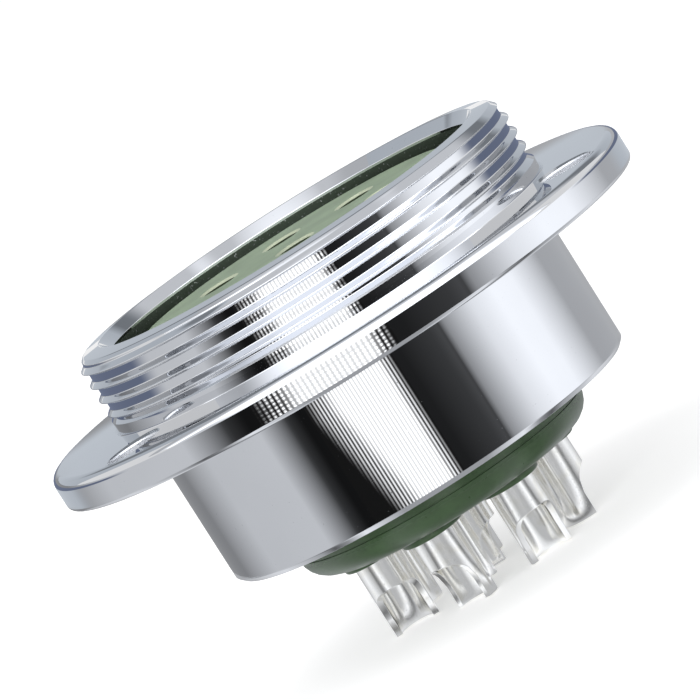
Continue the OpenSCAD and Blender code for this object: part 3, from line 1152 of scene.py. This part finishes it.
# Levels of the front softbox by the angle up from the camera
FRONT_LEVELS = ((6, 2.2), (16, 2.2), (30, 3.0), (65, 3.0), (69, 1.5), (76, 1.4), (80, 0.8), (94, 0.8))
# Levels of the ceiling by the angle up from the camera and over to the far side
CEILING_LEVELS = ((94, 0.8), (98, 0.30), (148, 0.25), (156, 0.60), (172, 0.62))
# Levels of the mat under the solder cups by the angle to either side of the camera
MAT_LEVELS = (
    (0, 0.50), (20, 0.48), (40, 1.20), (50, 0.40), (58, 0.15), (66, 0.50), (95, 1.00), (140, 0.52),
    (180, 0.48),
)
# Height of the mat over the floor, and radius of the hole in its middle
MAT_LIFT, MAT_HOLE = 0.1 * MM, 0.5 * MM
# The lamp panel: how far it stands ahead of the wall, its edges in degrees, and how softly each edge fades
PANEL_GAP = 2 * MM
PANEL_LEFT, PANEL_RIGHT = -36, 10
LEFT_FADE, RIGHT_FADE = 8, 4
# Degrees from one column of lamps to the next, and millimetres from row to row
COLUMN_STEP, ROW_STEP = 1.65, 0.27
# Height in millimetres where the rows begin, and how softly they do
ROWS_FROM, ROWS_FADE = -6.8, 0.3
# Levels of the lamps, of the lines below their rows, of the panel's heart and of the ground behind
LAMP_LEVEL, LINE_LEVEL, HEART_LEVEL, GROUND_LEVEL = 3.4, 0.6, 1.1, 0.012
# Millimetres below the rows where the panel's left edge begins to lean, and its lean in degrees a millimetre
LEAN_FROM, LEAN = 1.2, 1.3
# Power that makes the lamps' dots narrower than the gaps between them
DOT_POWER = 1.5
# Level of the world's light, the floor's paper, and the glow that lifts the paper to white for the camera
AMBIENT = 0.58
PAPER = (0.86, 0.86, 0.86)
FLOOR_GLOW = 0.52


def around(facing, turn, radius, height):
    """The place at an angle to the right of the camera, at a radius and a height."""
    angle = facing + math.radians(turn)
    return Vector((radius * math.cos(angle), radius * math.sin(angle), height))


def overhead(facing, rise, radius, across):
    """The place on a vault at an angle up from the camera, and so far across to the right."""
    angle = math.radians(rise)
    front = Vector((math.cos(facing), math.sin(facing), 0.0))
    right = Vector((-math.sin(facing), math.cos(facing), 0.0))
    return (front * math.cos(angle) + Vector((0, 0, 1)) * math.sin(angle)) * radius + right * across


def card(name, place, turns, reach, shine):
    """A curved sheet that only reflections see.

    Its vertices know their angle, between two turns, and how far along they are in millimetres.
    """
    columns = max(2, round(turns[1] - turns[0]) + 1)
    angles = [turns[0] + (turns[1] - turns[0]) * j / (columns - 1) for j in range(columns)]
    spots = [(angle, along) for along in reach for angle in angles]
    mesh = bpy.data.meshes.new(name)
    faces = [(j + 1, j, columns + j, columns + j + 1) for j in range(columns - 1)]
    mesh.from_pydata([place(*spot) for spot in spots], [], faces)
    known = {"turn": [angle for angle, _ in spots], "along": [along / MM for _, along in spots]}
    for what, values in known.items():
        mesh.attributes.new(what, "FLOAT", "POINT").data.foreach_set("value", values)
    finish = Finish(bpy.data.materials.new(name))
    mesh.materials.append(finish.surface(finish.node("ShaderNodeEmission", None, {"Color": shine(finish)})))
    sheet = new_object(name, mesh)
    sheet.visible_camera = sheet.visible_diffuse = sheet.visible_shadow = sheet.visible_transmission = False


def spread(finish):
    """The angle that a card's vertices know, and how far along they are."""
    names = ("turn", "along")
    return [finish.node("ShaderNodeAttribute", {"attribute_name": name}, output="Fac") for name in names]


def ends(levels):
    """The first and the last angle of a list of levels."""
    return levels[0][0], levels[-1][0]


def bands(finish, levels, place, tint=COOL):
    """A tint whose level follows an angle on a card."""
    low, high = ends(levels)
    stops = [((angle - low) / (high - low), shade(tint, level)) for angle, level in levels]
    return finish.node("ShaderNodeValToRGB", {"stops": stops}, {"Fac": (place - low) / (high - low)})


def wall_shine(finish):
    """Shine of the walls, whose far sides have a dark strip between a pale top and a pale belt.

    Heights are in millimetres, and angles in degrees to either side of the camera.
    """
    turn, height = spread(finish)
    aside = abs(turn)
    strip = finish.ramp(height, -4.0, -3.0) * finish.ramp(height, 5.0, 4.0)
    strip = strip * finish.ramp(aside, 85.0, 100.0) * finish.ramp(aside, 172.0, 166.0)
    top = finish.ramp(height, 5.5, 7.5) * finish.ramp(aside, 150.0, 160.0)
    belt = finish.ramp(height, -7.5, -6.0) * finish.ramp(height, -3.0, -4.0)
    belt = belt * finish.ramp(aside, 115.0, 130.0)
    sides = finish.mix(strip, bands(finish, WALL_LEVELS, turn), shade(STRIP))
    return finish.mix(top + belt, sides, shade(DUSK, PALE))


def front_shine(finish):
    """Shine of the front softbox, which is dimmer towards its ends, low down most of all on the left.

    Places across are in millimetres, and angles in degrees up from the camera.
    """
    rise, across = spread(finish)
    right = finish.ramp(across, 60.0, 90.0) * finish.ramp(rise, 94.0, 86.0)
    high = finish.ramp(across, -75.0, -50.0, 0.78) + right * 0.8
    low = finish.ramp(across, -220.0, -50.0, 0.3) * finish.ramp(across, 390.0, 60.0, 0.33)
    level = high + finish.ramp(rise, 60.0, 45.0) * (low - high)
    return finish.scaled(bands(finish, FRONT_LEVELS, rise), level)


def ceiling_shine(finish):
    """Shine of the ceiling, which is pale far out on the left and all along the right.

    Places across are in millimetres, and angles in degrees up from the camera.
    """
    rise, across = spread(finish)
    far_left = finish.ramp(across, -76.0, -86.0)
    right = finish.ramp(across, 35.0, 60.0) * finish.ramp(rise, 140.0, 122.0)
    middle = finish.mix(far_left, bands(finish, CEILING_LEVELS, rise, DUSK), shade(DUSK, PALE))
    return finish.mix(right, middle, shade(COOL, RIGHT_LEVEL))


def mat_shine(finish):
    """Shine of the mat under the solder cups, the same on either side of the camera."""
    turn, _ = spread(finish)
    return bands(finish, MAT_LEVELS, abs(turn))


def panel_shine(finish):
    """Shine of a panel of small lamps in columns and rows, which merge into white in the panel's heart.

    Below the rows the columns go on as lines, and the left edge leans to the right.
    """
    turn, height = spread(finish)
    left = turn - (ROWS_FROM - LEAN_FROM - height).most(0.0) * LEAN

    def inside(fades):
        """One within the panel, from a number of fades in from its edges."""
        low, high = PANEL_LEFT + fades * LEFT_FADE, PANEL_RIGHT - fades * RIGHT_FADE
        return finish.ramp(left, low, low + LEFT_FADE) * finish.ramp(turn, high, high - RIGHT_FADE)

    in_rows = finish.ramp(height, ROWS_FROM, ROWS_FROM + ROWS_FADE)
    rows = LINE_LEVEL + in_rows * (height.wave(ROW_STEP) - LINE_LEVEL)
    dots = (turn.wave(COLUMN_STEP) * rows) ** DOT_POWER
    return finish.scaled(WHITE, inside(0) * dots * LAMP_LEVEL + inside(1) * HEART_LEVEL + GROUND_LEVEL)


class CONNECTOR_OT_stage(bpy.types.Operator):
    """Set up the floor, the soft light, the reflection cards and the camera"""

    bl_idname = "connector.stage"
    bl_label = "Studio"

    def execute(self, context):
        stage = context.scene.connector_stage
        context.scene.view_settings.view_transform = "Standard"
        floor_z = CAD_LOW.z
        facing = stage.azimuth - math.pi / 2
        self.add_world(context.scene)
        self.add_floor(stage, floor_z)
        self.add_cards(stage, floor_z, facing)
        self.add_lamp("key_light", angle=facing - 0.25, height=0.06, away=0.40, size=0.25, power=0.9)
        self.add_lamp("top_light", angle=facing - 0.9, height=0.55, away=0.15, size=0.40, power=0.8)
        self.add_camera(context.scene, stage)
        return {"FINISHED"}

    @staticmethod
    def add_cards(stage, floor_z, facing):
        """The sheets that stand in for the studio in the plate's reflections."""
        wall, heights = stage.card_radius, (floor_z, stage.card_height)
        softbox, ceiling = stage.softbox_reach, stage.ceiling_reach

        def on_wall(turn, height):
            return around(facing, turn, wall, height)

        def on_panel(turn, height):
            return around(facing, turn, wall - PANEL_GAP, height)

        def on_mat(turn, radius):
            return around(facing, turn, radius, floor_z + MAT_LIFT)

        def on_vault(rise, across):
            return overhead(facing, rise, stage.vault_radius, across)

        card("studio_wall", on_wall, ALL_ROUND, heights, wall_shine)
        card("lamp_panel", on_panel, (PANEL_LEFT, PANEL_RIGHT), heights, panel_shine)
        card("front_softbox", on_vault, ends(FRONT_LEVELS), (-softbox, softbox), front_shine)
        card("studio_ceiling", on_vault, ends(CEILING_LEVELS), (-ceiling, ceiling), ceiling_shine)
        card("cup_mat", on_mat, ALL_ROUND, (MAT_HOLE, wall), mat_shine)

    @staticmethod
    def add_world(scene):
        """Even light from all round, which the camera sees as white."""
        world = scene.world or bpy.data.worlds.new("studio")
        scene.world = world
        finish = Finish(world)
        light = finish.scaled(WHITE, AMBIENT + finish.seen() * (1.0 - AMBIENT))
        back = finish.node("ShaderNodeBackground", None, {"Color": light})
        finish.node("ShaderNodeOutputWorld", None, {"Surface": back})

    @staticmethod
    def add_floor(stage, floor_z):
        """A round floor of pale paper, which the camera sees as white beyond the shadow."""
        flat = bmesh.new()
        bmesh.ops.create_circle(flat, cap_ends=True, radius=stage.floor_radius, segments=96)
        mesh = bpy.data.meshes.new("studio_floor")
        flat.to_mesh(mesh)
        flat.free()
        floor = new_object("studio_floor", mesh)
        floor.location.z = floor_z
        finish = Finish(bpy.data.materials.new("pale_floor"))
        paper = finish.node("ShaderNodeBsdfDiffuse", None, {"Color": shade(PAPER)})
        glow = finish.scaled(WHITE, finish.seen() * FLOOR_GLOW)
        white = finish.node("ShaderNodeEmission", None, {"Color": glow})
        both = finish.node("ShaderNodeAddShader", None, {0: paper, 1: white})
        mesh.materials.append(finish.surface(both))

    @staticmethod
    def add_lamp(name, angle, height, away, size, power):
        """A soft round lamp that looks at the connector and isn't reflected."""
        lamp = bpy.data.lights.new(name, "AREA")
        lamp.shape = "DISK"
        lamp.size = size
        lamp.energy = power
        lit = new_object(name, lamp)
        lit.location = (away * math.cos(angle), away * math.sin(angle), height)
        lit.rotation_euler = (-lit.location).to_track_quat("-Z", "Y").to_euler()
        lit.visible_glossy = False

    @staticmethod
    def add_camera(scene, stage):
        """A camera at the photo's place, rolled as the connector lies in the picture."""
        data = bpy.data.cameras.new("photo_camera")
        data.sensor_width = 36.0
        data.lens = data.sensor_width * stage.distance / stage.frame_width
        data.clip_start = 0.01
        camera = new_object("photo_camera", data)
        a, e = stage.azimuth, stage.elevation
        back = Vector((math.sin(a) * math.cos(e), -math.cos(a) * math.cos(e), math.sin(e)))
        level = Vector((math.cos(a), math.sin(a), 0.0))
        rise = back.cross(level)
        right = level * math.cos(stage.roll) - rise * math.sin(stage.roll)
        up = level * math.sin(stage.roll) + rise * math.cos(stage.roll)
        spot = back * stage.distance - right * stage.origin_right - up * stage.origin_up
        camera.matrix_world = Matrix.Translation(spot) @ Matrix((right, up, back)).transposed().to_4x4()
        scene.camera = camera


class CONNECTOR_PT_pieces(bpy.types.Panel):
    """Lists the pieces of the connector and its studio"""

    bl_idname = "CONNECTOR_PT_pieces"
    bl_label = "Connector"
    bl_space_type = "VIEW_3D"
    bl_region_type = "UI"
    bl_category = "Connector"

    def draw(self, context):
        for operator in OPERATORS:
            self.layout.operator(operator.bl_idname)
        for name in GROUPS:
            group = getattr(context.scene, name)
            box = self.layout.box()
            for prop in group.__annotations__:
                box.prop(group, prop)


GROUPS = {
    "connector_shell": ShellSizes,
    "connector_mouldings": MouldingSizes,
    "connector_contacts": ContactSizes,
    "connector_finishes": Finishes,
    "connector_stage": StageSettings,
}
OPERATORS = (
    CONNECTOR_OT_plated_shell,
    CONNECTOR_OT_contact_face,
    CONNECTOR_OT_rear_moulding,
    CONNECTOR_OT_contacts,
    CONNECTOR_OT_spring_sleeves,
    CONNECTOR_OT_retaining_ring,
    CONNECTOR_OT_stage,
)


def register():
    for group in GROUPS.values():
        bpy.utils.register_class(group)
    for name, group in GROUPS.items():
        setattr(bpy.types.Scene, name, PointerProperty(type=group))
    for operator in OPERATORS:
        bpy.utils.register_class(operator)
    bpy.utils.register_class(CONNECTOR_PT_pieces)


def unregister():
    bpy.utils.unregister_class(CONNECTOR_PT_pieces)
    for operator in reversed(OPERATORS):
        bpy.utils.unregister_class(operator)
    for name, group in reversed(GROUPS.items()):
        delattr(bpy.types.Scene, name)
        bpy.utils.unregister_class(group)


def main():
    """Registers the classes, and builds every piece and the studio."""
    register()
    bpy.ops.connector.plated_shell()
    bpy.ops.connector.contact_face()
    bpy.ops.connector.rear_moulding()
    bpy.ops.connector.contacts()
    bpy.ops.connector.spring_sleeves()
    bpy.ops.connector.retaining_ring()
    bpy.ops.connector.stage()


if __name__ == "__main__":
    main()
